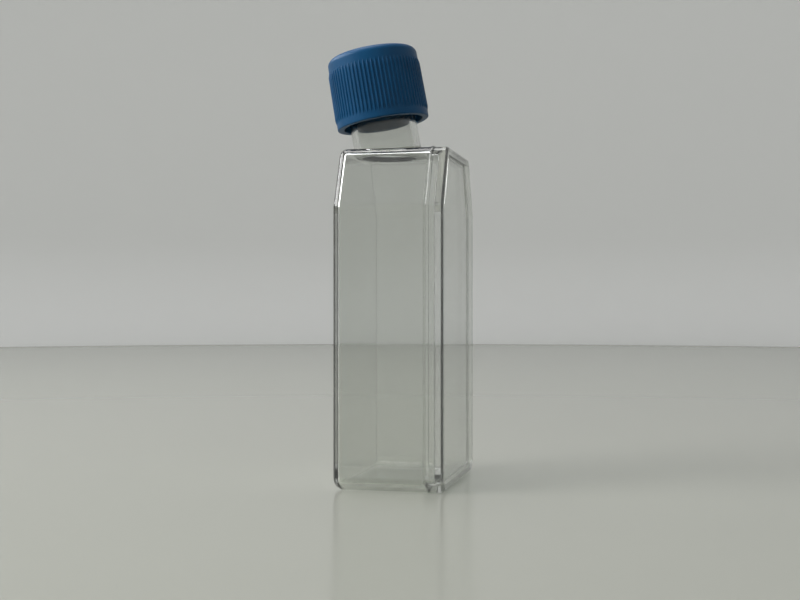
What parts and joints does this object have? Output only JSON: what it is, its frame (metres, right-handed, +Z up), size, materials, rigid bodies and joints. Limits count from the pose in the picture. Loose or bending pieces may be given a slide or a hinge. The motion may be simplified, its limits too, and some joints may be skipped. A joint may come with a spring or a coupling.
{
  "type": "cell culture flask",
  "caption": "Small rectangular cell culture flask with a canted neck, a welded growth plate and a ribbed screw cap, standing on its base end.",
  "frame": {"origin": "middle of the base end that the flask stands on, half way through its thickness and its width", "axes": "+Z up from the base end to the neck; +X out of the growth plate; -X out of the roof, the way the neck leans; Y across the width"},
  "size_m": [0.0306, 0.0406, 0.0999],
  "materials": {
    "clear_polystyrene": "clear, polished mould",
    "blue_cap": "satin polyethylene with fine ribs"
  },
  "bodies": {
    "flask": {"flask_body": "clear_polystyrene", "growth_plate": "clear_polystyrene"},
    "cap": {"screw_cap": "blue_cap"}
  },
  "joints": [
    {"name": "cap_lift", "type": "slide", "parent": "flask", "child": "cap", "axis": [-0.1736, 0, 0.9848], "range_m": [0, 0.045]}
  ]
}
